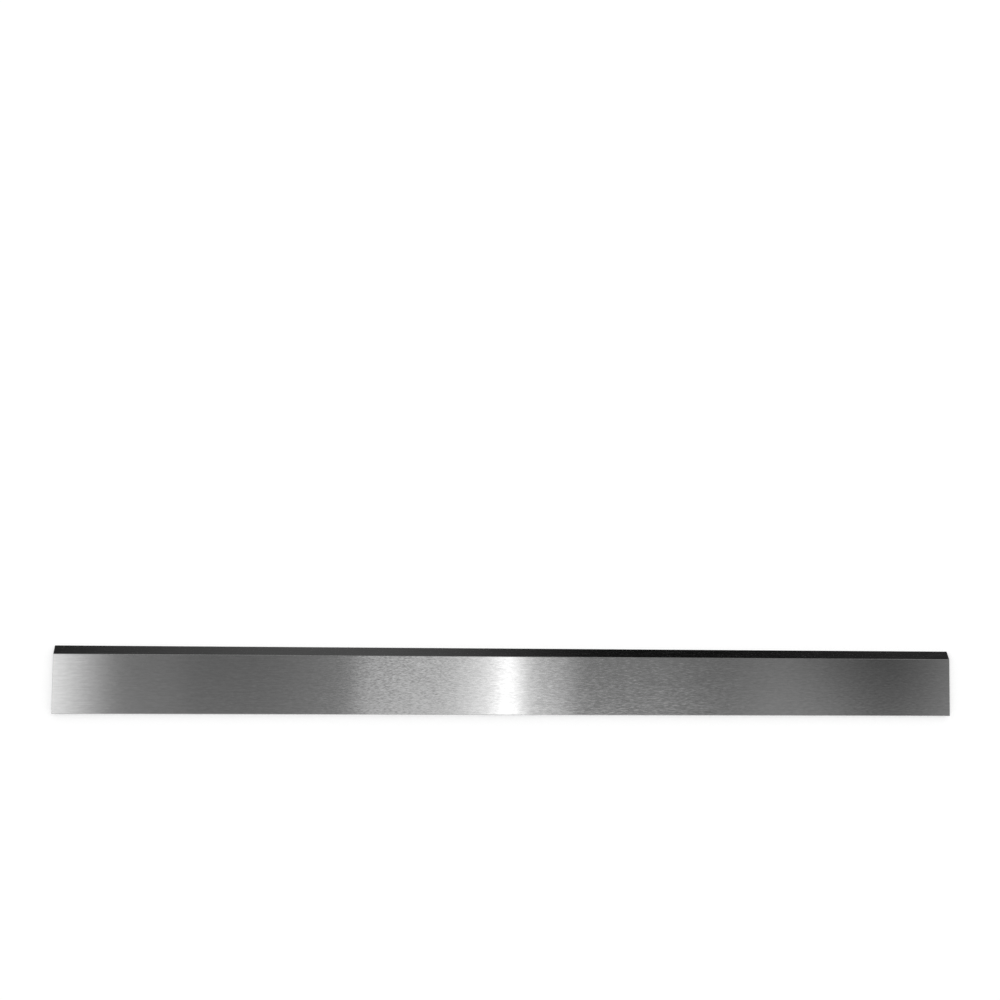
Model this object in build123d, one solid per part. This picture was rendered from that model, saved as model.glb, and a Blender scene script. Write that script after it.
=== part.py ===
from build123d import *
import math
import os

# A planer knife for a clamping cutter head: one ground bar of high-speed steel, straight from end to
# end, with a single bevel along one long side. It lies as it rests, on its full-width seating face.
#
# X runs along the knife, Y across it towards the cutting edge, and Z up through its thickness.
# The origin is the middle of the seating face.

# Driving dimensions, in millimetres and degrees
LENGTH = 410.0  # from end to end
WIDTH = 30.0  # from the back edge to the cutting edge
THICKNESS = 3.0  # from the seating face to the clamping face
BEVEL_ANGLE = 40.0  # between the seating face and the bevel, at the cutting edge
BACK_BREAK = 0.3  # leg of the flat that breaks each long arris of the back edge
HEEL_BREAK = 0.1  # leg of the flat that dulls the heel, where the bevel meets the clamping face
END_BREAK = 0.2  # leg of the flat that breaks the arrises of both square ends


def section():
    """The cross-section: a flat bar with one side ground down to the cutting edge."""
    back = -WIDTH / 2
    edge = WIDTH / 2
    heel = edge - THICKNESS / math.tan(math.radians(BEVEL_ANGLE))
    outline = Polyline((back, 0), (edge, 0), (heel, THICKNESS), (back, THICKNESS), close=True)
    blank = make_face(Plane.YZ * outline)
    back_corners = blank.vertices().group_by(Axis.Y)[0]
    blank = chamfer(back_corners, BACK_BREAK)
    heel_corner = blank.vertices().group_by(Axis.Z)[-1].sort_by(Axis.Y)[-1]
    return chamfer(heel_corner, HEEL_BREAK)


def knife():
    """The ground bar, with both square ends broken all round and its cutting edge left keen."""
    bar = extrude(section(), amount=LENGTH / 2, both=True)
    square_ends = bar.faces().filter_by(Axis.X)
    return chamfer(square_ends.edges(), END_BREAK)


os.makedirs("parts", exist_ok=True)
export_step(knife(), "parts/knife.step")
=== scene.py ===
"""Dresses a planer knife: one ground bar of high-speed steel with a single bevel, lying on its seating face.

X runs along the knife, Y across it towards the cutting edge, and Z up through its thickness. The scene is in
metres. The sizes of the knife, of its finishes and of the studio are written in millimetres and turned once.
"""

import logging
import math
from dataclasses import dataclass, field
from enum import Enum

import bpy
import numpy as np
from mathutils import Matrix, Vector

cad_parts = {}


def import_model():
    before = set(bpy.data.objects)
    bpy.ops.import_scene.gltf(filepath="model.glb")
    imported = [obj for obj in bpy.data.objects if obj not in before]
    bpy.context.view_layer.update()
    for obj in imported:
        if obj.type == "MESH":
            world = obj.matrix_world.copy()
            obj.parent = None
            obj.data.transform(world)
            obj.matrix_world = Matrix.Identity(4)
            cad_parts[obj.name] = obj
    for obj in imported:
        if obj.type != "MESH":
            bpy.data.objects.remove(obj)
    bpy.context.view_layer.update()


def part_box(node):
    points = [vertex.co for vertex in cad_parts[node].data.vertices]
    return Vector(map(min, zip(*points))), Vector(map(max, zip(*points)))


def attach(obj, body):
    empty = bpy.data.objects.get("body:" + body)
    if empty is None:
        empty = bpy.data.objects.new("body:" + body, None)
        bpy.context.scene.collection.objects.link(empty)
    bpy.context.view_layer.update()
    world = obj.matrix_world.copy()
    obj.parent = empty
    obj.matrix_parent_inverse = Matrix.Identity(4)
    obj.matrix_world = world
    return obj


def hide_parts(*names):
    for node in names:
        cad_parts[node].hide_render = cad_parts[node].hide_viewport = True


MM = 0.001
NODE = "knife"
BODY = "root"

# A noise runs from 0 to 1 about its middle. Its spread is its standard deviation with one finer layer, and
# NOISE_FALL says how strong that layer is beside the first.
NOISE_MIDDLE = 0.5
NOISE_SPREAD = 0.124
NOISE_FALL = 0.55

# A speck's shape, beside its widest radius: how many cells of the warp lie along it, how far the warp can
# move a place, the smallest radius, and the width of the soft rim. SPECK_FAINT is the share that come out
# faint.
SPECK_WARP = 0.8
SPECK_STRAY = 3.0
SPECK_LEAST = 0.33
SPECK_RIM = 0.3
SPECK_FAINT = 0.02

# The places of a Mix node's sockets for colours. Its other sockets have the same names.
MIX_SHARE = 0
MIX_FIRST = 6
MIX_SECOND = 7
MIX_RESULT = 2

# What every finish shares: the seeds of its streaks, hairlines and patches, and where their noise is cut off.
STREAK_SEED = 11.3
LINE_SEED = 17.9
PATCH_SEED = 5.7
STREAK_LIMITS = (0.25, 0.75)
PATCH_LIMITS = (0.3, 0.7)

log = logging.getLogger("knife")


class Value:
    """A shader socket that carries one number, with arithmetic that adds Math nodes."""

    def __init__(self, shader: "Shader", socket: bpy.types.NodeSocket) -> None:
        """Wraps one output socket of a node in a shader."""
        self.shader = shader
        self.socket = socket

    def _with(self, operation: str, first: "Value | float", second: "Value | float") -> "Value":
        """The result of one Math node, from its operation and what goes into its two sockets."""
        node = self.shader.node("ShaderNodeMath", {"operation": operation}, {0: first, 1: second})
        return Value(self.shader, node.outputs[0])

    def __add__(self, other: "Value | float") -> "Value":
        """self + other."""
        return self._with("ADD", self, other)

    def __radd__(self, other: float) -> "Value":
        """other + self."""
        return self._with("ADD", other, self)

    def __sub__(self, other: "Value | float") -> "Value":
        """self - other."""
        return self._with("SUBTRACT", self, other)

    def __rsub__(self, other: float) -> "Value":
        """other - self."""
        return self._with("SUBTRACT", other, self)

    def __mul__(self, other: "Value | float") -> "Value":
        """self * other."""
        return self._with("MULTIPLY", self, other)

    def __rmul__(self, other: float) -> "Value":
        """other * self."""
        return self._with("MULTIPLY", other, self)

    def most(self, other: "Value | float") -> "Value":
        """The larger of self and other."""
        return self._with("MAXIMUM", self, other)

    def smooth(self, low: float, high: float) -> "Value":
        """A soft step: 0 below low, 1 above high, and a smooth rise between them.

        Args:
            low: Where it begins to rise.
            high: Where it has risen.

        Returns:
            The step, from 0 to 1.
        """
        node = self.shader.node(
            "ShaderNodeMapRange",
            {"interpolation_type": "SMOOTHSTEP"},
            {"Value": self, "From Min": low, "From Max": high},
        )
        return Value(self.shader, node.outputs["Result"])


class Shader:
    """The node tree of a material or of the world."""

    def __init__(self, tree: bpy.types.NodeTree) -> None:
        """Empties the tree, so that only the nodes made here are in it."""
        self.tree = tree
        tree.nodes.clear()

    def node(
        self,
        kind: str,
        settings: dict[str, object] | None = None,
        sockets: dict[str | int, object] | None = None,
    ) -> bpy.types.Node:
        """Adds one node.

        Args:
            kind: The node's type.
            settings: Its properties, set before its sockets.
            sockets: Values or links for its input sockets, by name or place.

        Returns:
            The new node.
        """
        node = self.tree.nodes.new(kind)
        for name, value in (settings or {}).items():
            setattr(node, name, value)
        for name, value in (sockets or {}).items():
            source = value.socket if isinstance(value, Value) else value
            if isinstance(source, bpy.types.NodeSocket):
                self.tree.links.new(source, node.inputs[name])
            else:
                node.inputs[name].default_value = source
        return node

    def place(self) -> bpy.types.NodeSocket:
        """The object's own coordinates, in metres."""
        return self.node("ShaderNodeTexCoord").outputs["Object"]

    def axis(self, name: str) -> Value:
        """One object coordinate, X, Y or Z, in millimetres."""
        parts = self.node("ShaderNodeSeparateXYZ", sockets={0: self.place()})
        return Value(self, parts.outputs[name]) * (1 / MM)

    def ray(self, name: str) -> Value:
        """1 for rays of one kind, such as Is Camera Ray, and 0 for the others."""
        return Value(self, self.node("ShaderNodeLightPath").outputs[name])

    def cells(self, size: tuple[float, float, float], seed: float) -> bpy.types.NodeSocket:
        """The object's coordinates, counted in cells along each axis.

        Args:
            size: How long one cell is along X, Y and Z, in millimetres.
            seed: A shift, in cells, that gives a pattern a place of its own.

        Returns:
            Each coordinate over the size of its cell, plus one, two or three times the shift.
        """
        scale = tuple(1 / (MM * side) for side in size)
        moved = self.node(
            "ShaderNodeMapping",
            {"vector_type": "POINT"},
            {"Vector": self.place(), "Scale": scale, "Location": (seed, 2 * seed, 3 * seed)},
        )
        return moved.outputs[0]

    def noise(self, cell: tuple[float, float, float], seed: float, detail: float = 1.0) -> Value:
        """Smooth noise on the object's coordinates, stretched along the axes.

        Args:
            cell: How long one cell of the noise is along X, Y and Z, in millimetres.
            seed: Makes this noise unlike the others.
            detail: How many finer layers it has.

        Returns:
            The noise, from 0 to 1 about its middle.
        """
        made = self.node(
            "ShaderNodeTexNoise",
            {"noise_dimensions": "3D"},
            {"Vector": self.cells(cell, seed), "Scale": 1.0, "Detail": detail, "Roughness": NOISE_FALL},
        )
        return Value(self, made.outputs["Fac"])

    def specks(self, spacing: float, size: float, share: float, seed: float) -> Value:
        """Scattered ragged specks.

        A speck fills its cell up to a radius that differs from cell to cell. A warp as fine as a speck moves
        the place that is looked up, which makes the rim ragged.

        Args:
            spacing: How far apart places for a speck are, in millimetres.
            size: The widest radius of a speck, in millimetres.
            share: How many of the places have one, from 0 to 1.
            seed: Makes these specks unlike the others.

        Returns:
            1 in a speck and 0 outside it, with a soft rim.
        """
        reach = size / spacing
        stray = SPECK_STRAY * reach
        place = self.cells((spacing, spacing, spacing), seed)
        warp = self.node(
            "ShaderNodeTexNoise",
            {"noise_dimensions": "3D"},
            {"Vector": place, "Scale": SPECK_WARP / reach, "Detail": 1.0},
        )
        ragged = self.vector("MULTIPLY_ADD", {0: warp.outputs["Color"], 1: (stray, stray, stray), 2: place})
        nearest = self.node(
            "ShaderNodeTexVoronoi",
            {"voronoi_dimensions": "3D", "feature": "F1"},
            {"Vector": ragged, "Scale": 1.0},
        )
        chance = self.node("ShaderNodeSeparateColor", sockets={0: nearest.outputs["Color"]})
        kept = Value(self, chance.outputs[0]).smooth(1 - share, 1 - share * (1 - SPECK_FAINT))
        radius = (Value(self, chance.outputs[1]) * (1 - SPECK_LEAST) + SPECK_LEAST) * reach
        outside = (Value(self, nearest.outputs["Distance"]) - radius).smooth(-SPECK_RIM * reach, 0.0)
        return kept * (1 - outside)

    def grey(self, dark: float, light: float, share: Value) -> bpy.types.NodeSocket:
        """A neutral colour between two levels, mixed by a share from 0 to 1."""
        return self.blend((dark, dark, dark, 1), light, share)

    def blend(
        self, colour: bpy.types.NodeSocket | tuple[float, float, float, float], level: float, share: Value
    ) -> bpy.types.NodeSocket:
        """Takes a colour over to a neutral level.

        Args:
            colour: The colour where the share is 0, as a link or as four numbers.
            level: The level where the share is 1.
            share: How far to go over, from 0 to 1.

        Returns:
            The mixed colour.
        """
        made = self.node(
            "ShaderNodeMix",
            {"data_type": "RGBA"},
            {MIX_SHARE: share, MIX_FIRST: colour, MIX_SECOND: (level, level, level, 1)},
        )
        return made.outputs[MIX_RESULT]

    def vector(self, operation: str, sockets: dict[str | int, object]) -> bpy.types.NodeSocket:
        """Adds one Vector Math node, and gives its vector."""
        return self.node("ShaderNodeVectorMath", {"operation": operation}, sockets).outputs["Vector"]


def new_material(name: str) -> tuple[bpy.types.Material, Shader]:
    """A material with no nodes yet, and the shader that takes them.

    Args:
        name: The material's name.

    Returns:
        The material and its shader.
    """
    material = bpy.data.materials.new(name)
    material.use_nodes = True
    return material, Shader(material.node_tree)


@dataclass(frozen=True)
class Grain:
    """One layer of marks that a grinding wheel leaves, as a height over the surface.

    Attributes:
        cell: How long one mark is along X, Y and Z, in millimetres.
        height: From its lowest to its highest, in millimetres.
        seed: Makes its noise unlike the others.
    """

    cell: tuple[float, float, float]
    height: float
    seed: float


@dataclass(frozen=True)
class Specks:
    """Fine dust and pits, which scatter light where the steel round them mirrors it.

    Attributes:
        spacing: How far apart places for a speck are, in millimetres.
        size: The widest radius of a speck, in millimetres.
        share: How many of the places have one, from 0 to 1.
        tone: The colour of a speck.
        rough: Its roughness.
        seed: Makes these specks unlike the others.
    """

    spacing: float
    size: float
    share: float
    tone: float
    rough: float
    seed: float


@dataclass(frozen=True)
class Band:
    """A soft-edged stretch along one axis, in millimetres.

    Attributes:
        start: Where it begins to show.
        stop: Where it has died away.
        rise: How long its first edge takes to come up.
        fall: How long its last edge takes to die away.
    """

    start: float
    stop: float
    rise: float
    fall: float

    def share(self, place: Value) -> Value:
        """1 inside the band, 0 outside it, with soft edges."""
        up = place.smooth(self.start, self.start + self.rise)
        return up * (1 - place.smooth(self.stop - self.fall, self.stop))


@dataclass(frozen=True)
class Pass:
    """One pass of the grinding wheel.

    Attributes:
        cell: How long one furrow is along X, Y and Z, in millimetres.
        tilt: The spread of the furrows' tilt, in degrees.
        seed: Makes its noise unlike the others.
        along: Its reach along X, or None if it goes from end to end.
    """

    cell: tuple[float, float, float]
    tilt: float
    seed: float
    along: Band | None = None

    def lean(self, shader: Shader) -> Value:
        """How far this pass tilts the surface: tan(tilt) times a noise of unit spread about 0.

        Args:
            shader: The material's nodes.

        Returns:
            The tangent of the tilt, either way.
        """
        gain = math.tan(math.radians(self.tilt)) / NOISE_SPREAD
        lean = (shader.noise(self.cell, self.seed) - NOISE_MIDDLE) * gain
        return lean if self.along is None else lean * self.along.share(shader.axis("X"))


@dataclass(frozen=True)
class Furrows:
    """Grinding furrows too fine to model as heights: they tilt the surface to either side of their run.

    Attributes:
        run: The way that the furrows run.
        passes: The wheel's passes.
    """

    run: tuple[float, float, float]
    passes: tuple[Pass, ...]

    def normal(self, shader: Shader, normal: bpy.types.NodeSocket) -> bpy.types.NodeSocket:
        """Tilts a normal: the normal plus the lean times the cross product of the run and the normal.

        The lean is the sum of what the passes give.

        Args:
            shader: The material's nodes.
            normal: The normal that the furrows are cut into.

        Returns:
            The tilted normal, of unit length.
        """
        lean = sum(cut.lean(shader) for cut in self.passes)
        aside = shader.vector("CROSS_PRODUCT", {0: self.run, 1: normal})
        moved = shader.vector("SCALE", {0: aside, "Scale": lean})
        return shader.vector("NORMALIZE", {0: shader.vector("ADD", {0: normal, 1: moved})})


@dataclass(frozen=True)
class Finish:
    """A ground steel surface.

    Attributes:
        name: The material's name.
        tone: The steel's colour, as dark and light levels that its streaks run between.
        rough: The roughness between and on the coarser streaks.
        tone_cell: The size of the streaks of tone, in millimetres.
        line_cell: The size of the hairlines between them.
        lines: How much of the tone's range the hairlines take, from 0 to 1.
        rough_cell: The size of the streaks of roughness, in millimetres.
        grains: The layers of its relief.
        furrows: The fine furrows that its wheel leaves.
        specks: The dust and pits on it.
    """

    name: str
    tone: tuple[float, float]
    rough: tuple[float, float]
    tone_cell: tuple[float, float, float]
    line_cell: tuple[float, float, float]
    lines: float
    rough_cell: tuple[float, float, float]
    grains: tuple[Grain, ...]
    furrows: Furrows
    specks: Specks

    def material(self) -> bpy.types.Material:
        """The finish as a material: metal with streaks in its tone, roughness and relief.

        Returns:
            The new material.
        """
        material, shader = new_material(self.name)
        streak = shader.noise(self.tone_cell, STREAK_SEED).smooth(*STREAK_LIMITS) * (1 - self.lines)
        line = shader.noise(self.line_cell, LINE_SEED, detail=0.0).smooth(*STREAK_LIMITS)
        patch = shader.noise(self.rough_cell, PATCH_SEED).smooth(*PATCH_LIMITS)
        height = sum(shader.noise(grain.cell, grain.seed) * grain.height for grain in self.grains)
        bump = shader.node("ShaderNodeBump", sockets={"Strength": 1.0, "Distance": MM, "Height": height})
        speck = shader.specks(self.specks.spacing, self.specks.size, self.specks.share, self.specks.seed)
        steel = shader.grey(self.tone[0], self.tone[1], streak + line * self.lines)
        rough = self.rough[0] + patch * (self.rough[1] - self.rough[0])
        surface = shader.node(
            "ShaderNodeBsdfPrincipled",
            sockets={
                "Base Color": shader.blend(steel, self.specks.tone, speck),
                "Metallic": 1.0,
                "Roughness": rough + speck * (self.specks.rough - rough),
                "Normal": self.furrows.normal(shader, bump.outputs[0]),
            },
        )
        shader.node("ShaderNodeOutputMaterial", sockets={"Surface": surface.outputs[0]})
        return material


class Side(Enum):
    """The kinds of surface on the knife, each with its own finish. The values are material slots."""

    FACE = 0
    BEVEL = 1
    BACK = 2
    ARRIS = 3
    END = 4


# Where the wheel's second and third passes bite into the broad faces.
MIDDLE = Band(start=-170, stop=130, rise=120, fall=50)
LEFT_OF_MIDDLE = Band(start=-110, stop=-6, rise=48, fall=40)

FINISHES = {
    Side.FACE: Finish(
        name="ground_face",
        tone=(0.58, 0.66),
        rough=(0.082, 0.1),
        tone_cell=(3.2, 1.0, 1.0),
        line_cell=(11.0, 0.13, 0.13),
        lines=0.5,
        rough_cell=(1.6, 0.3, 0.3),
        grains=(Grain(cell=(7.0, 1.4, 1.4), height=0.003, seed=3.1),),
        furrows=Furrows(
            run=(1, 0, 0),
            passes=(
                Pass(cell=(2.0, 0.27, 0.27), tilt=0.42, seed=7.9),
                Pass(cell=(2.0, 0.27, 0.27), tilt=1.2, seed=5.1, along=MIDDLE),
                Pass(cell=(1.4, 0.22, 0.22), tilt=3.0, seed=8.7, along=LEFT_OF_MIDDLE),
            ),
        ),
        specks=Specks(spacing=9.0, size=0.25, share=0.25, tone=0.8, rough=0.4, seed=2.7),
    ),
    Side.BEVEL: Finish(
        name="ground_bevel",
        tone=(0.57, 0.66),
        rough=(0.06, 0.09),
        tone_cell=(14.0, 0.5, 0.5),
        line_cell=(9.0, 0.12, 0.12),
        lines=0.5,
        rough_cell=(9.0, 0.25, 0.25),
        grains=(Grain(cell=(8.0, 0.5, 0.5), height=0.002, seed=2.3),),
        furrows=Furrows(run=(1, 0, 0), passes=(Pass(cell=(8.0, 0.2, 0.2), tilt=0.25, seed=4.9),)),
        specks=Specks(spacing=9.0, size=0.15, share=0.1, tone=0.75, rough=0.2, seed=6.3),
    ),
    Side.BACK: Finish(
        name="ground_back",
        tone=(0.52, 0.62),
        rough=(0.16, 0.3),
        tone_cell=(9.0, 0.2, 0.2),
        line_cell=(12.0, 0.1, 0.1),
        lines=0.4,
        rough_cell=(6.0, 0.25, 0.25),
        grains=(Grain(cell=(8.0, 0.5, 0.5), height=0.004, seed=4.7),),
        furrows=Furrows(run=(1, 0, 0), passes=(Pass(cell=(4.0, 0.2, 0.2), tilt=3.0, seed=1.7),)),
        specks=Specks(spacing=3.0, size=0.2, share=0.2, tone=0.7, rough=0.5, seed=3.9),
    ),
    Side.ARRIS: Finish(
        name="stoned_arris",
        tone=(0.54, 0.64),
        rough=(0.2, 0.3),
        tone_cell=(3.0, 0.2, 0.2),
        line_cell=(5.0, 0.08, 0.08),
        lines=0.3,
        rough_cell=(2.0, 0.2, 0.2),
        grains=(Grain(cell=(3.0, 0.4, 0.4), height=0.001, seed=8.3),),
        furrows=Furrows(run=(1, 0, 0), passes=(Pass(cell=(6.0, 0.2, 0.2), tilt=1.5, seed=5.3),)),
        specks=Specks(spacing=3.0, size=0.1, share=0.1, tone=0.6, rough=0.4, seed=1.9),
    ),
    Side.END: Finish(
        name="cut_end",
        tone=(0.4, 0.54),
        rough=(0.1, 0.2),
        tone_cell=(0.3, 0.35, 3.2),
        line_cell=(0.1, 0.12, 2.6),
        lines=0.35,
        rough_cell=(0.3, 0.3, 1.6),
        grains=(Grain(cell=(0.4, 0.5, 3.0), height=0.004, seed=6.1),),
        furrows=Furrows(run=(0, 0, 1), passes=(Pass(cell=(0.3, 0.16, 2.8), tilt=2.0, seed=9.1),)),
        specks=Specks(spacing=0.5, size=0.14, share=0.4, tone=0.85, rough=0.6, seed=4.3),
    ),
}


def round_corner(
    corner: np.ndarray, radius: float, m: np.ndarray, n: np.ndarray, steps: int, inset: np.ndarray
) -> tuple[np.ndarray, np.ndarray]:
    """Rounds one corner of an outline that is drawn in from its sides.

    The corner lies between sides whose outward normals are m and n. An arc of radius q that touches both
    sides after an inset has its middle at c = corner - (inset + q) (m + n) / (1 + m.n), and its point with
    normal k is c + q k. Its radius q is r less the inset, and never less than a third of r, so the arc stays
    open where the inset is deep.

    Args:
        corner: The corner as it is with no inset and no radius.
        radius: The arc's radius r. With 0 the corner stays sharp, and its point has a normal for each side.
        m: The normal of the side before it.
        n: The normal of the side after it.
        steps: How many flats the arc has.
        inset: How far each outline is drawn in.

    Returns:
        Points of shape (insets, points, 2), and the normals before and after each point, of shape
        (points, 2, 2).
    """
    mitre = (m + n) / (1 + m @ n)
    if radius == 0:
        return corner - inset[:, None, None] * mitre, np.array([[m, n]])
    turn = math.atan2(m[0] * n[1] - m[1] * n[0], m @ n)
    angle = np.linspace(0, turn, steps + 1)
    k = np.cos(angle)[:, None] * m + np.sin(angle)[:, None] * np.array([-m[1], m[0]])
    arc = np.maximum(radius - inset, radius / 3)[:, None, None]
    reach = inset[:, None, None] + arc
    return corner - reach * mitre + arc * k, np.stack([k, k], axis=1)


@dataclass
class Knife:
    """The ground bar, as a section carried along its length.

    Attributes:
        length: From end to end, in millimetres, as are the other sizes.
        width: From the back edge to the cutting edge.
        thickness: From the seating face to the clamping face.
        bevel_angle: Between the seating face and the bevel, in degrees.
        back_break: Leg of the flat that breaks each long arris of the back edge.
        heel_break: Leg of the flat that dulls the heel, where the bevel meets the clamping face.
        end_break: Leg of the flat that breaks the arrises of both square ends.
        easing: The radius where a broken arris runs into the side next to it.
        easing_steps: How many flats that radius has.
        station: The longest step along the length.
        corners: The section's corners along Y and Z, worked out from the sizes.
        radii: The radius of each corner, 0 at the cutting edge.
    """

    length: float
    width: float
    thickness: float
    bevel_angle: float = 40.0
    back_break: float = 0.3
    heel_break: float = 0.1
    end_break: float = 0.2
    easing: float = 0.06
    easing_steps: int = 2
    station: float = 5.0
    corners: np.ndarray = field(init=False)
    radii: np.ndarray = field(init=False)

    def __post_init__(self) -> None:
        """Works out the section's corners, from the back's foot round by the cutting edge.

        A corner with a leg gives way to two, each a leg away from it along one of its sides.
        """
        back, edge = -self.width / 2, self.width / 2
        heel = edge - self.thickness / math.tan(math.radians(self.bevel_angle))
        sharp = np.array([(back, 0), (edge, 0), (heel, self.thickness), (back, self.thickness)])
        legs = np.array([self.back_break, 0.0, self.heel_break, self.back_break])[:, None]
        run = np.roll(sharp, -1, axis=0) - sharp
        run = run / np.linalg.norm(run, axis=1, keepdims=True)
        broken = np.stack([sharp - legs * np.roll(run, 1, axis=0), sharp + legs * run], axis=1)
        kept = np.stack([np.full(len(sharp), True), legs[:, 0] > 0], axis=1)
        self.corners = broken[kept]
        self.radii = np.where(self.corners[:, 0] < edge, self.easing, 0.0)

    def section(self, inset: np.ndarray) -> tuple[np.ndarray, np.ndarray]:
        """The section's outline, drawn in by an inset from every side: its corners, each rounded in turn.

        Args:
            inset: How far each outline is drawn in, in millimetres, one outline for each.

        Returns:
            Points of shape (insets, points, 2), and the normals before and after each point.
        """
        sides = np.roll(self.corners, -1, axis=0) - self.corners
        sides = sides / np.linalg.norm(sides, axis=1, keepdims=True)
        after = np.stack([sides[:, 1], -sides[:, 0]], axis=1)
        before = np.roll(after, 1, axis=0)
        made = [
            round_corner(corner, radius, m, n, self.easing_steps, inset)
            for corner, radius, m, n in zip(self.corners, self.radii, before, after)
        ]
        return np.concatenate([points for points, _ in made], axis=1), np.concatenate([k for _, k in made])

    def stations(self) -> tuple[np.ndarray, np.ndarray, np.ndarray]:
        """Where the section is set along the length.

        At the ends the place along X and the inset follow a broken arris, which is a flat at 45 degrees with
        both its corners rounded, and the surface leans towards X by the angle of its normal there.

        Returns:
            The place along X, the inset and the lean, negative at the left end, all in order of X.
        """
        half, leg = self.length / 2, self.end_break
        side, flat, end = np.array([(0.0, 1.0), (math.sqrt(0.5), math.sqrt(0.5)), (1.0, 0.0)])
        made = [
            round_corner(np.array(corner), self.easing, before, after, self.easing_steps, np.zeros(1))
            for corner, before, after in (((half - leg, 0.0), side, flat), ((half, -leg), flat, end))
        ]
        path = np.concatenate([points[0] for points, _ in made])
        normal = np.concatenate([normals[:, 0] for _, normals in made])
        lean = np.arctan2(normal[:, 0], normal[:, 1])
        straight = path[0, 0]
        run = np.linspace(-straight, straight, math.ceil(2 * straight / self.station) + 1)[1:-1]
        x = np.concatenate([-path[::-1, 0], run, path[:, 0]])
        inset = np.concatenate([-path[::-1, 1], 0 * run, -path[:, 1]])
        return x, inset, np.concatenate([-lean[::-1], 0 * run, lean])

    def kinds(self, normals: np.ndarray, lean: np.ndarray) -> np.ndarray:
        """Which finish each face of the mesh takes, by the way that it looks.

        A strip along the section looks the way of the mean of the normals at its two edges. It is a broad
        face where that is straight up or down, the back edge where it is straight back, and the bevel where
        it leans as the bevel does. Every other strip is a broken arris, and so are the faces that lean at
        the ends.

        Args:
            normals: The section's normals, as section gives them.
            lean: The lean at each station.

        Returns:
            The slot of each face, with the two ends last.
        """
        middle = (normals[:, 1] + np.roll(normals[:, 0], -1, axis=0)) / 2
        slope = math.sin(math.radians(self.bevel_angle))
        close = 0.0001
        strip = np.full(len(middle), Side.ARRIS.value)
        strip[np.abs(middle[:, 1]) > 1 - close] = Side.FACE.value
        strip[middle[:, 0] < close - 1] = Side.BACK.value
        strip[np.abs(middle[:, 0] - slope) < close] = Side.BEVEL.value
        grid = np.tile(strip, (len(lean) - 1, 1))
        grid[(lean[:-1] != 0) | (lean[1:] != 0)] = Side.ARRIS.value
        return np.concatenate([grid.ravel(), [Side.END.value, Side.END.value]])

    def build(self, name: str) -> bpy.types.Object:
        """The knife's mesh, closed and with its faces outwards.

        Point j at station i stands at the station's place along X, and at point j of the section as it is
        drawn in there. The left and right ends are one face each.

        Args:
            name: The object's name.

        Returns:
            The new object, with exact normals, its finishes and a map for each side.
        """
        x, inset, lean = self.stations()
        outline, normals = self.section(inset)
        rows, count = outline.shape[:2]
        place = np.empty((rows, count, 3))
        place[..., 0] = x[:, None]
        place[..., 1:] = outline
        i, j = np.meshgrid(np.arange(rows - 1), np.arange(count), indexing="ij")
        k = (j + 1) % count
        quads = np.stack([i * count + j, i * count + k, (i + 1) * count + k, (i + 1) * count + j], -1)
        left = np.arange(count)[::-1]
        right = (rows - 1) * count + np.arange(count)
        faces = [*quads.reshape(-1, 4).tolist(), left.tolist(), right.tolist()]
        mesh = bpy.data.meshes.new(name)
        mesh.from_pydata((place * MM).reshape(-1, 3), [], faces)
        mesh.polygons.foreach_set("use_smooth", np.ones(len(faces), bool))
        for side in Side:
            mesh.materials.append(FINISHES[side].material())
        mesh.polygons.foreach_set("material_index", self.kinds(normals, lean).astype(np.int32))
        mesh.update()
        mesh.normals_split_custom_set(self.corner_normals(normals, lean))
        self.lay_map(mesh, x, inset, outline)
        piece = bpy.data.objects.new(name, mesh)
        bpy.context.scene.collection.objects.link(piece)
        return piece

    def corner_normals(self, normals: np.ndarray, lean: np.ndarray) -> np.ndarray:
        """The exact normal at each corner of each face: cos a times the section's normal, plus sin a along X.

        Args:
            normals: The section's normals, as section gives them.
            lean: The lean a at each station.

        Returns:
            One unit vector for each corner, in the order of the faces.
        """
        rows, count = len(lean), len(normals)
        start, stop = normals[:, 1], np.roll(normals[:, 0], -1, axis=0)
        across = np.stack([start, stop, stop, start], axis=1)
        tilt = np.stack([lean[:-1], lean[:-1], lean[1:], lean[1:]], axis=1)
        made = np.empty((rows - 1, count, 4, 3))
        made[..., 0] = np.sin(tilt)[:, None, :]
        made[..., 1:] = np.cos(tilt)[:, None, :, None] * across[None]
        ends = np.zeros((2, count, 3))
        ends[0, :, 0], ends[1, :, 0] = -1, 1
        return np.concatenate([made.reshape(-1, 3), ends.reshape(-1, 3)])

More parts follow.
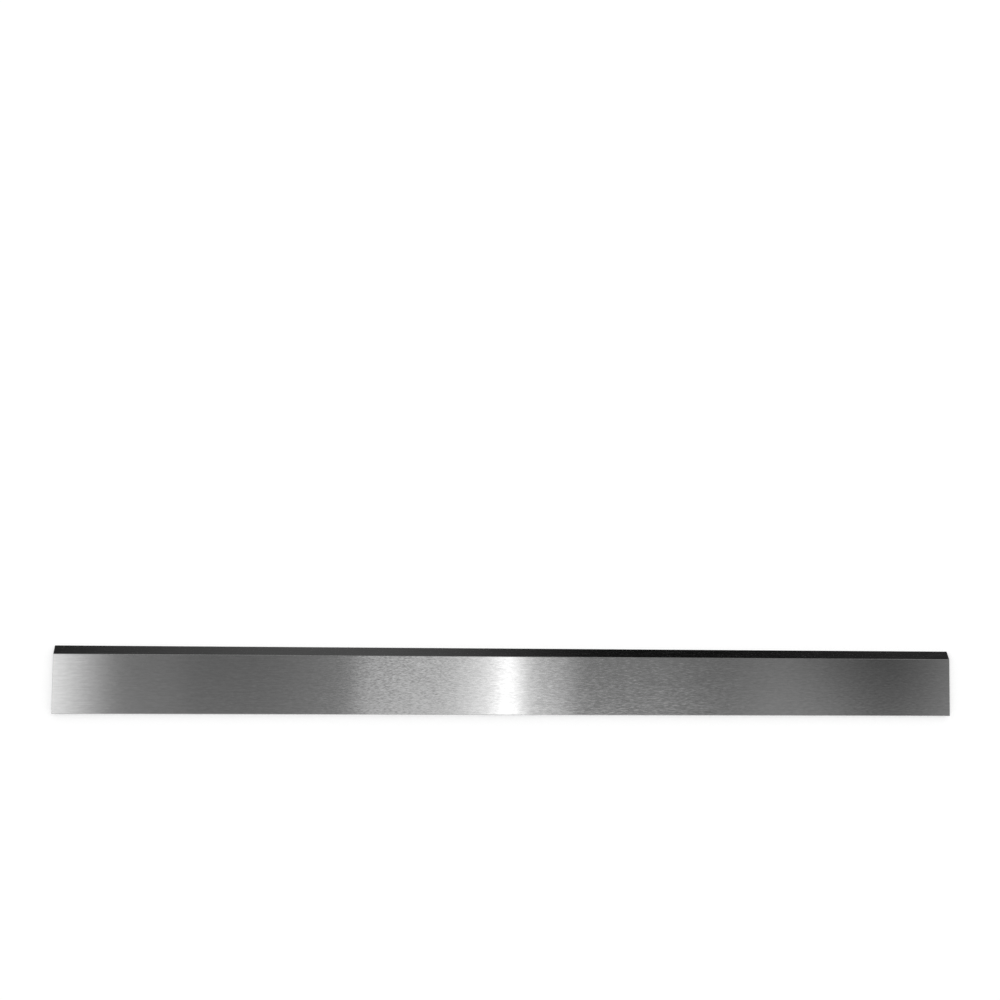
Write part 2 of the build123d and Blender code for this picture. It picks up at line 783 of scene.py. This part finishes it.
    def lay_map(self, mesh: bpy.types.Mesh, x: np.ndarray, inset: np.ndarray, outline: np.ndarray) -> None:
        """Unrolls the sides into one long strip and sets the two ends above it, all inside 0 to 1.

        In the strip, u is how far along the knife a point lies and v how far round its section, each as a
        share of the whole. On an end they are the shares of its width and of its height.

        Args:
            mesh: The knife's mesh, which gets the map.
            x: The place of each station along X.
            inset: The inset at each station.
            outline: The outline at each station, of shape (stations, points, 2).
        """
        rows, count = outline.shape[:2]
        full = outline[rows // 2]
        steps = np.linalg.norm(np.roll(full, -1, axis=0) - full, axis=1)
        round_it = np.concatenate([[0], np.cumsum(steps)]) / steps.sum()
        along_it = np.concatenate([[0], np.cumsum(np.hypot(np.diff(x), np.diff(inset)))])
        margin, strip = 0.01, 0.84
        u = margin + (1 - 2 * margin) * along_it / along_it[-1]
        v = margin + strip * (1 - round_it)
        made = np.empty((rows - 1, count, 4, 2))
        made[..., 0] = np.stack([u[:-1], u[:-1], u[1:], u[1:]], axis=1)[:, None, :]
        made[..., 1] = np.stack([v[:-1], v[1:], v[1:], v[:-1]], axis=1)[None]
        low, high = self.corners.min(axis=0), self.corners.max(axis=0)
        cap = (outline[-1] - low) / (high - low)
        width, height = 0.5 - 2 * margin, 1 - strip - 4 * margin
        right = np.stack([0.5 + margin + width * cap[:, 0], strip + 3 * margin + height * cap[:, 1]], axis=1)
        left = np.stack([0.5 - margin - width * cap[:, 0], right[:, 1]], axis=1)[::-1]
        spots = np.concatenate([made.reshape(-1, 2), left, right])
        layer = mesh.uv_layers.new(name="OFBake")
        layer.data.foreach_set("uv", spots.astype(np.float32).ravel())


@dataclass(frozen=True)
class Glow:
    """A lamp behind a card's cloth.

    Attributes:
        level: How bright it is at its full, or below 0 how much it darkens.
        along: Its reach along the card.
        across: Its reach across the card, or None if it goes all the way.
    """

    level: float
    along: Band
    across: Band | None = None

    def light(self, along: Value, across: Value) -> Value:
        """What it adds at a place on the card: its level times its reach along and across.

        Args:
            along: The place along the card, in millimetres.
            across: The place across it.

        Returns:
            The added brightness.
        """
        share = self.along.share(along)
        if self.across is not None:
            share = share * self.across.share(across)
        return share * self.level


@dataclass
class Card:
    """A card or lit cloth that only the steel sees, in its reflections.

    Attributes:
        name: The object's name.
        low: Its lowest corner, in millimetres.
        high: Its highest corner. The card is flat along the axis on which the two agree.
        along: The axis that its glows reach along.
        across: The axis that they reach across.
        base: Its own brightness.
        glows: The lamps behind it, at least one.
    """

    name: str
    low: tuple[float, float, float]
    high: tuple[float, float, float]
    along: str
    across: str
    base: float
    glows: tuple[Glow, ...]

    def material(self) -> bpy.types.Material:
        """The card's light: its base and the sum of its glows, and nowhere below 0.

        Returns:
            The new material.
        """
        material, shader = new_material(self.name)
        along, across = shader.axis(self.along), shader.axis(self.across)
        level = sum((glow.light(along, across) for glow in self.glows), start=self.base)
        light = shader.node("ShaderNodeEmission", sockets={"Strength": level.most(0.0)})
        shader.node("ShaderNodeOutputMaterial", sockets={"Surface": light.outputs[0]})
        return material

    def build(self) -> bpy.types.Object:
        """The card as one rectangle between its two corners.

        Returns:
            The new object, which only the rays that leave metal see.
        """
        low, high = np.array(self.low), np.array(self.high)
        flat = int(np.argmin(np.abs(high - low)))
        first, second = [axis for axis in range(3) if axis != flat]
        points = np.tile(low, (4, 1)).astype(float)
        points[1:3, first] = high[first]
        points[2:4, second] = high[second]
        card = stage_panel(self.name, points * MM, self.material())
        card.visible_camera = False
        card.visible_diffuse = False
        card.visible_shadow = False
        card.visible_transmission = False
        return card


def stage_panel(name: str, corners: np.ndarray, material: bpy.types.Material) -> bpy.types.Object:
    """A flat panel that belongs to the studio and not to the knife.

    Args:
        name: The object's name.
        corners: Its corners in metres, in order round it.
        material: What covers it.

    Returns:
        The new object.
    """
    mesh = bpy.data.meshes.new(name)
    mesh.from_pydata(corners.tolist(), [], [range(len(corners))])
    mesh.materials.append(material)
    panel = bpy.data.objects.new(name, mesh)
    bpy.context.scene.collection.objects.link(panel)
    return panel


# A band that runs off a card ends this far out, with an edge that nothing shows.
BEYOND = 3000.0
UNSEEN = 10.0
EVERYWHERE = Band(start=-BEYOND, stop=BEYOND, rise=UNSEEN, fall=UNSEEN)


def short_of(edge: float, soft: float) -> Band:
    """A band from beyond the card's near side that dies away at an edge."""
    return Band(start=-BEYOND, stop=edge, rise=UNSEEN, fall=soft)


def from_edge(edge: float, soft: float) -> Band:
    """A band that comes up at an edge and goes on beyond the card's far side."""
    return Band(start=edge, stop=BEYOND, rise=soft, fall=UNSEEN)


# The cloth's own brightness and its lamps, along X and across Y.
CLOTH_BASE = 0.165
CLOTH_GLOWS = {
    "window": Glow(
        level=1.31,
        along=Band(start=-650, stop=-284, rise=150, fall=106),
        across=Band(start=-550, stop=300, rise=300, fall=300),
    ),
    "window_sill": Glow(level=0.05, along=short_of(-220, 30)),
    "haze": Glow(level=0.075, along=Band(start=-180, stop=290, rise=105, fall=75), across=short_of(215, 170)),
    "panel": Glow(level=0.355, along=Band(start=-83, stop=141, rise=19, fall=24), across=short_of(185, 300)),
    "panel_haze": Glow(
        level=0.11,
        along=Band(start=-70, stop=145, rise=75, fall=90),
        across=short_of(220, 160),
    ),
    "lamp_glow": Glow(level=0.48, along=Band(start=4, stop=95, rise=54, fall=15), across=short_of(205, 295)),
    "lamp": Glow(
        level=1.22,
        along=Band(start=54, stop=87, rise=18, fall=20),
        across=Band(start=-650, stop=650, rise=350, fall=350),
    ),
    "shelf": Glow(level=0.27, along=Band(start=43, stop=330, rise=30, fall=135), across=short_of(-20, 175)),
    "far_shelf": Glow(
        level=0.16,
        along=Band(start=245, stop=450, rise=100, fall=80),
        across=short_of(135, 335),
    ),
    "shade": Glow(
        level=-0.085,
        along=Band(start=325, stop=545, rise=80, fall=60),
        across=from_edge(-145, 130),
    ),
    "door": Glow(level=0.165, along=Band(start=435, stop=850, rise=110, fall=200)),
    "near_half": Glow(level=0.13, along=EVERYWHERE, across=short_of(10, 220)),
    "far_rim": Glow(level=0.13, along=EVERYWHERE, across=from_edge(200, 400)),
}

# A dark stretch of the front wall, which the bevel mirrors. The last two glows take some of the dark away.
DARK_HEIGHT = Band(start=170, stop=490, rise=90, fall=95)
DARK_STRETCH = (
    Glow(level=-0.284, along=Band(start=-950, stop=1300, rise=320, fall=320), across=DARK_HEIGHT),
    Glow(level=0.1, along=Band(start=-700, stop=350, rise=560, fall=450), across=DARK_HEIGHT),
    Glow(level=0.02, along=Band(start=470, stop=1600, rise=420, fall=400), across=DARK_HEIGHT),
)


@dataclass(frozen=True)
class Window:
    """A tall soft window in a wall, which goes on over the rim of the cloth and dies away there.

    Attributes:
        level: How bright it is.
        middle: Where its middle is along its wall, in millimetres, as are the other sizes.
        sill: How high it begins.
        rise: How long it takes to come up above the sill.
        half: Half its width.
        soft: How long its edges take to come up.
        reach: How far from the middle of the cloth it has died away.
        fade: How long it takes to die away.
    """

    level: float
    middle: float
    sill: float = -400.0
    rise: float = 500.0
    half: float = 430.0
    soft: float = 420.0
    reach: float = 600.0
    fade: float = 900.0

    def width(self) -> Band:
        """Its reach along the wall."""
        return Band(self.middle - self.half, self.middle + self.half, self.soft, self.soft)

    def on_wall(self) -> Glow:
        """Its part in the wall."""
        return Glow(self.level, self.width(), from_edge(self.sill, self.rise))

    def on_cloth(self, side: tuple[int, int]) -> Glow:
        """Its part in the cloth: inwards from the rim on the wall's side, -1, 0 or 1 along X and along Y."""
        inwards = from_edge(self.reach, self.fade) if sum(side) > 0 else short_of(-self.reach, self.fade)
        return Glow(self.level, inwards, self.width()) if side[0] else Glow(self.level, self.width(), inwards)


FRONT_WINDOWS = (
    Window(level=0.3, middle=-1300),
    Window(level=0.4, middle=-150, sill=480, rise=220),
    Window(level=0.3, middle=1450),
)
BACK_WINDOWS = tuple(Window(level=0.5, middle=place) for place in (-1150, -250, 500, 1300))
LEFT_WINDOWS = tuple(Window(level=0.5, middle=place) for place in (-950, 0, 850))
RIGHT_WINDOWS = tuple(Window(level=0.5, middle=place) for place in (-1100, -300, 600))


@dataclass
class Studio:
    """The white floor, the room round it and its lights.

    Attributes:
        floor_half: Half the floor's side, in millimetres, as are the other sizes.
        floor_drop: How far the floor lies under the seating face.
        floor_tone: The floor's colour.
        floor_rough: Its roughness.
        floor_lift: What the floor gains where the camera or steel sees it, to show white.
        daylight: The level of the light from all round.
        sunlight: The strength of the wide sun that gives the knife its shadow.
        sun_width: How wide the sun looks, in degrees.
        sun_heading: The way that its light goes.
        cloth_height: How high the lit cloth hangs, and the walls reach.
        wall_far: How far the walls stand from the knife, and the cloth reaches.
        wall_base: The walls' own brightness.
    """

    floor_half: float = 4000.0
    floor_drop: float = 0.05
    floor_tone: float = 0.82
    floor_rough: float = 0.9
    floor_lift: float = 0.27
    daylight: float = 0.8
    sunlight: float = 0.5
    sun_width: float = 35.0
    sun_heading: tuple[float, float, float] = (0.5, 0.6, -1.0)
    cloth_height: float = 700.0
    wall_far: float = 1600.0
    wall_base: float = 0.29

    def floor(self) -> bpy.types.Object:
        """The white floor as one square, which keeps the knife's shadow.

        Returns:
            The new object.
        """
        material, shader = new_material("white_floor")
        tone = self.floor_tone
        paper = shader.node(
            "ShaderNodeBsdfPrincipled",
            sockets={
                "Base Color": (tone, tone, tone, 1),
                "Roughness": self.floor_rough,
                "Specular IOR Level": 0.0,
            },
        )
        lift = self.seen(shader) * self.floor_lift
        light = shader.node("ShaderNodeEmission", sockets={"Strength": lift})
        both = shader.node("ShaderNodeAddShader", sockets={0: paper.outputs[0], 1: light.outputs[0]})
        shader.node("ShaderNodeOutputMaterial", sockets={"Surface": both.outputs[0]})
        corners = np.array([(-1, -1, 0), (1, -1, 0), (1, 1, 0), (-1, 1, 0)], float) * self.floor_half
        corners[:, 2] = -self.floor_drop
        return stage_panel("white_floor", corners * MM, material)

    def seen(self, shader: Shader) -> Value:
        """1 for rays from the camera or from metal or glass, and 0 for light that falls on things."""
        camera, glossy = shader.ray("Is Camera Ray"), shader.ray("Is Glossy Ray")
        return camera.most(glossy).most(shader.ray("Is Transmission Ray"))

    def world(self) -> None:
        """White where the camera, metal or glass sees it, and the daylight's level for everything else."""
        world = bpy.data.worlds.new("white_room")
        world.use_nodes = True
        bpy.context.scene.world = world
        shader = Shader(world.node_tree)
        level = self.daylight + self.seen(shader) * (1 - self.daylight)
        light = shader.node("ShaderNodeBackground", sockets={"Color": (1, 1, 1, 1), "Strength": level})
        shader.node("ShaderNodeOutputWorld", sockets={"Surface": light.outputs[0]})

    def lamp(self) -> bpy.types.Object:
        """A wide soft sun, which gives the floor the knife's shadow and isn't seen in the steel.

        Returns:
            The new lamp.
        """
        data = bpy.data.lights.new("soft_sun", "SUN")
        data.energy = self.sunlight
        data.angle = math.radians(self.sun_width)
        lamp = bpy.data.objects.new("soft_sun", data)
        lamp.rotation_euler = Vector(self.sun_heading).to_track_quat("-Z", "Y").to_euler()
        lamp.visible_glossy = False
        bpy.context.scene.collection.objects.link(lamp)
        return lamp

    def wall(self, name: str, side: tuple[int, int], glows: tuple[Glow, ...]) -> Card:
        """One wall of the room.

        Args:
            name: The wall's name.
            side: Which way it lies from the knife: -1, 0 or 1 along X and along Y.
            glows: What lights it up or darkens it.

        Returns:
            The wall as a card, whose glows reach along the floor and then up.
        """
        far = self.wall_far
        spans = [(way * far, way * far) if way else (-far, far) for way in side]
        (x_low, x_high), (y_low, y_high) = spans
        return Card(
            name=name,
            low=(x_low, y_low, 0),
            high=(x_high, y_high, self.cloth_height),
            along="Y" if side[0] else "X",
            across="Z",
            base=self.wall_base,
            glows=glows,
        )

    def cards(self) -> list[Card]:
        """The lit cloth overhead and the four walls, as the steel sees them.

        Returns:
            The cards, the cloth first.
        """
        far = self.wall_far
        sides = {
            "front_wall": ((0, 1), DARK_STRETCH, FRONT_WINDOWS),
            "back_wall": ((0, -1), (), BACK_WINDOWS),
            "left_wall": ((-1, 0), (), LEFT_WINDOWS),
            "right_wall": ((1, 0), (), RIGHT_WINDOWS),
        }
        walls, overhead = [], list(CLOTH_GLOWS.values())
        for name, (side, glows, windows) in sides.items():
            lit = glows + tuple(window.on_wall() for window in windows)
            walls.append(self.wall(name, side, lit))
            overhead.extend(window.on_cloth(side) for window in windows)
        cloth = Card(
            name="lit_cloth",
            low=(-far, -far, self.cloth_height),
            high=(far, far, self.cloth_height),
            along="X",
            across="Y",
            base=CLOTH_BASE,
            glows=tuple(overhead),
        )
        return [cloth, *walls]

    def build(self) -> None:
        """Sets up the floor, the world, the lamp and the cards."""
        self.floor()
        self.world()
        self.lamp()
        for card in self.cards():
            card.build()


@dataclass(frozen=True)
class Viewpoint:
    """The photograph's camera.

    Attributes:
        position: Where it stands, in millimetres.
        aim: The point on the floor in the middle of its picture.
        roll: How far it is turned about its line of sight, in degrees.
        lens: Its focal length, in millimetres.
        sensor: How wide its sensor is, in millimetres.
        near: How close to it a thing may come and still be seen, in metres.
        far: How far away a thing may be and still be seen, in metres.
    """

    position: tuple[float, float, float] = (-70.15, 42.22, 641.19)
    aim: tuple[float, float, float] = (-7.47, 82.94, 0.0)
    roll: float = -0.64
    lens: float = 50.55
    sensor: float = 36.0
    near: float = 0.01
    far: float = 50.0

    def build(self) -> bpy.types.Object:
        """The scene's camera, level with Y up in its picture before it is rolled.

        Returns:
            The new camera.
        """
        place, target = Vector(self.position) * MM, Vector(self.aim) * MM
        forward = (target - place).normalized()
        level = forward.cross(Vector((0, 1, 0))).normalized()
        turn = math.radians(self.roll)
        right = level * math.cos(turn) + forward.cross(level) * math.sin(turn)
        up = right.cross(forward)
        data = bpy.data.cameras.new("camera")
        data.sensor_width = self.sensor
        data.lens = self.lens
        data.clip_start, data.clip_end = self.near, self.far
        camera = bpy.data.objects.new("camera", data)
        bpy.context.scene.collection.objects.link(camera)
        camera.matrix_world = Matrix.Translation(place) @ Matrix((right, up, -forward)).transposed().to_4x4()
        bpy.context.scene.camera = camera
        return camera


def main() -> None:
    """Loads the frame, builds the knife, the studio and the camera."""
    logging.basicConfig(level=logging.INFO, format="%(name)s: %(message)s")
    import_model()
    low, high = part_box(NODE)
    length, width, thickness = (high - low) / MM
    knife = Knife(length=length, width=width, thickness=thickness)
    piece = knife.build("knife_bar")
    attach(piece, BODY)
    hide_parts(NODE)
    log.info("knife bar: %d faces", len(piece.data.polygons))
    Studio().build()
    log.info("studio: floor, room, cloth and walls")
    Viewpoint().build()
    bpy.context.scene.view_settings.view_transform = "Standard"
    log.info("camera placed and boxes written")


if __name__ == "__main__":
    main()
